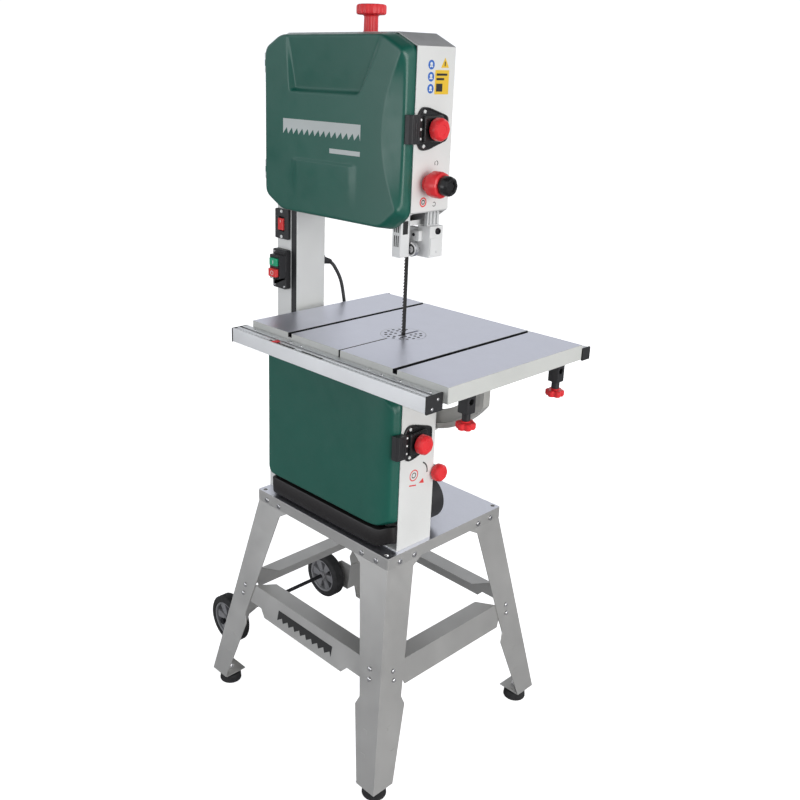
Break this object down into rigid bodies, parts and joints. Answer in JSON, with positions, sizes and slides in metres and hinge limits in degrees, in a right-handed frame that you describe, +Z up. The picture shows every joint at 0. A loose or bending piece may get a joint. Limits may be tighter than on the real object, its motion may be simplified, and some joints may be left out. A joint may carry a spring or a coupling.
{
  "type": "band saw",
  "caption": "Upright two-wheel band saw with tilting table, hinged wheel doors, adjustable blade guide and a splayed sheet-metal stand with transport wheels.",
  "frame": {"origin": "on the floor, under the centre of the machine's plan", "axes": "+Z up, +X towards the blade side of the throat, the operator stands at -Y"},
  "size_m": [0.845, 0.5976, 1.616],
  "materials": {
    "green_paint": "semi-gloss powder coat, dark green",
    "grey_paint": "satin powder coat, light grey",
    "white_paint": "satin powder coat, off-white",
    "cast_table": "ground and polished working face, painted sides",
    "black_plastic": "fine-textured black plastic",
    "red_plastic": "moulded red plastic",
    "green_plastic": "moulded green plastic",
    "steel": "turned steel",
    "zinc": "zinc-plated",
    "aluminium": "anodised and cast aluminium",
    "rubber": "black rubber",
    "blade_steel": "hardened band steel"
  },
  "bodies": {
    "frame": {"stand_top": "grey_paint", "stand_legs": "grey_paint", "stand_braces": "grey_paint", "stand_fasteners": "zinc", "levelling_feet": "rubber", "transport_axle": "steel", "upper_housing": "white_paint", "lower_housing": "white_paint", "column": "white_paint", "blade_slot_cover": "black_plastic", "lower_skirt": "black_plastic", "hinge_pins": "zinc", "latch_brackets": "black_plastic", "carrier_rails": "steel", "tension_spring": "steel", "shaft_housing": "steel", "motor": "aluminium", "motor_covers": "black_plastic", "drive_belt": "rubber", "dust_port": "black_plastic", "blade": "blade_steel", "motor_lead": "rubber", "quadrant_support": "grey_paint", "switch_boxes": "black_plastic"},
    "upper_door": {"upper_door": "green_paint", "upper_latch_block": "black_plastic"},
    "lower_door": {"lower_door": "green_paint", "lower_latch_block": "black_plastic"},
    "upper_latch": {"upper_latch_knob": "red_plastic"},
    "lower_latch": {"lower_latch_knob": "red_plastic"},
    "wheel_carrier": {"wheel_carrier": "steel"},
    "upper_wheel": {"upper_wheel": "aluminium", "upper_tyre": "rubber"},
    "lower_wheel": {"lower_wheel": "aluminium", "lower_tyre": "rubber"},
    "motor_rotor": {"motor_pulley": "steel"},
    "tension_screw": {"tension_knob": "red_plastic"},
    "tracking_screw": {"tracking_knob": "black_plastic"},
    "belt_tension_screw": {"belt_tension_knob": "red_plastic"},
    "blade_guide": {"guide_post": "steel", "guide_bracket": "white_paint", "blade_guard": "white_paint"},
    "left_guide_roller": {"guide_roller_left": "steel"},
    "right_guide_roller": {"guide_roller_right": "steel"},
    "height_drive": {"height_knob": "red_plastic"},
    "post_lock": {"post_lock_knob": "black_plastic"},
    "table": {"table_top": "cast_table", "table_insert": "aluminium", "fence_rails": "aluminium", "rail_caps": "black_plastic", "tilt_quadrant": "grey_paint", "extension_clamps": "black_plastic"},
    "tilt_lock": {"tilt_lock_knob": "black_plastic"},
    "front_clamp_screw": {"clamp_knob_front": "red_plastic"},
    "rear_clamp_screw": {"clamp_knob_rear": "red_plastic"},
    "start_button": {"green_button": "green_plastic"},
    "stop_button": {"red_button": "red_plastic"},
    "lamp_switch": {"lamp_rocker": "red_plastic"},
    "front_transport_wheel": {"transport_wheel_front": "rubber"},
    "rear_transport_wheel": {"transport_wheel_rear": "rubber"}
  },
  "joints": [
    {"name": "upper_door_swing", "type": "hinge", "parent": "frame", "child": "upper_door", "pos_m": [-0.23, -0.13375, 1.38], "axis": [0, 0, -1], "range_deg": [0, 110]},
    {"name": "lower_door_swing", "type": "hinge", "parent": "frame", "child": "lower_door", "pos_m": [-0.217, -0.13475, 0.755], "axis": [0, 0, -1], "range_deg": [0, 105]},
    {"name": "upper_latch_turn", "type": "hinge", "parent": "frame", "child": "upper_latch", "pos_m": [0.2115, -0.08925, 1.392], "axis": [1, 0, 0], "range_deg": [0, 720]},
    {"name": "lower_latch_turn", "type": "hinge", "parent": "frame", "child": "lower_latch", "pos_m": [0.2115, -0.08925, 0.768], "axis": [1, 0, 0], "range_deg": [0, 720]},
    {"name": "guide_height", "type": "slide", "parent": "frame", "child": "blade_guide", "axis": [0, 0, -1], "range_m": [0, 0.11]},
    {"name": "height_knob_turn", "type": "hinge", "parent": "frame", "child": "height_drive", "pos_m": [0.1985, -0.08925, 1.292], "axis": [1, 0, 0], "range_deg": [-270, 0]},
    {"name": "post_lock_turn", "type": "hinge", "parent": "frame", "child": "post_lock", "pos_m": [0.2265, -0.08925, 1.292], "axis": [1, 0, 0], "range_deg": [0, 180]},
    {"name": "left_roller_spin", "type": "hinge", "parent": "blade_guide", "child": "left_guide_roller", "pos_m": [0.129, -0.07125, 1.16], "axis": [0, 1, 0], "continuous": true},
    {"name": "right_roller_spin", "type": "hinge", "parent": "blade_guide", "child": "right_guide_roller", "pos_m": [0.1594, -0.07125, 1.16], "axis": [0, 1, 0], "continuous": true},
    {"name": "blade_tension", "type": "slide", "parent": "frame", "child": "wheel_carrier", "axis": [0, 0, -1], "range_m": [0, 0.012]},
    {"name": "tension_knob_turn", "type": "hinge", "parent": "frame", "child": "tension_screw", "pos_m": [-0.0135, -0.04325, 1.59], "axis": [0, 0, 1], "range_deg": [0, 1085]},
    {"name": "lower_wheel_spin", "type": "hinge", "parent": "frame", "child": "lower_wheel", "pos_m": [-0.0135, -0.08125, 0.755], "axis": [0, 1, 0], "continuous": true},
    {"name": "upper_wheel_spin", "type": "hinge", "parent": "wheel_carrier", "child": "upper_wheel", "pos_m": [-0.0135, -0.08125, 1.38], "axis": [0, 1, 0], "continuous": true},
    {"name": "motor_spin", "type": "hinge", "parent": "frame", "child": "motor_rotor", "pos_m": [-0.0355, -0.05125, 0.631], "axis": [0, 1, 0], "continuous": true},
    {"name": "tracking_turn", "type": "hinge", "parent": "wheel_carrier", "child": "tracking_screw", "pos_m": [-0.0135, 0.00075, 1.362], "axis": [0, 1, 0], "range_deg": [-360, 360]},
    {"name": "belt_tension_turn", "type": "hinge", "parent": "frame", "child": "belt_tension_screw", "pos_m": [0.2075, -0.01925, 0.68], "axis": [1, 0, 0], "range_deg": [0, 720]},
    {"name": "table_tilt", "type": "hinge", "parent": "frame", "child": "table", "pos_m": [0.1442, -0.08125, 0.983], "axis": [0, 1, 0], "range_deg": [0, 45]},
    {"name": "tilt_lock_turn", "type": "hinge", "parent": "frame", "child": "tilt_lock", "pos_m": [0.13841, 0.00075, 0.8171], "axis": [0, 1, 0], "range_deg": [0, 360]},
    {"name": "front_clamp_turn", "type": "hinge", "parent": "table", "child": "front_clamp_screw", "pos_m": [0.3865, -0.16325, 0.88], "axis": [0, 0, 1], "range_deg": [0, 720]},
    {"name": "rear_clamp_turn", "type": "hinge", "parent": "table", "child": "rear_clamp_screw", "pos_m": [0.3865, 0.11275, 0.88], "axis": [0, 0, 1], "range_deg": [0, 720]},
    {"name": "start_button_press", "type": "slide", "parent": "frame", "child": "start_button", "axis": [0, 1, 0], "range_m": [0, 0.003], "stiffness_N_per_m": 400},
    {"name": "stop_button_press", "type": "slide", "parent": "frame", "child": "stop_button", "axis": [0, 1, 0], "range_m": [0, 0.003], "stiffness_N_per_m": 400},
    {"name": "lamp_rocker_tip", "type": "hinge", "parent": "frame", "child": "lamp_switch", "pos_m": [-0.2085, -0.11075, 1.162], "axis": [1, 0, 0], "range_deg": [0, 12]},
    {"name": "front_transport_spin", "type": "hinge", "parent": "frame", "child": "front_transport_wheel", "pos_m": [-0.3595, -0.16125, 0.106], "axis": [0, 1, 0], "continuous": true},
    {"name": "rear_transport_spin", "type": "hinge", "parent": "frame", "child": "rear_transport_wheel", "pos_m": [-0.3595, 0.17075, 0.106], "axis": [0, 1, 0], "continuous": true}
  ],
  "couplings": [
    {"joint": "height_knob_turn", "follows": "guide_height", "rad_per_m": -42.194},
    {"joint": "tension_knob_turn", "follows": "blade_tension", "rad_per_m": 1570.8},
    {"joint": "upper_wheel_spin", "follows": "lower_wheel_spin", "ratio": 1},
    {"joint": "motor_spin", "follows": "lower_wheel_spin", "ratio": 2.8182}
  ]
}
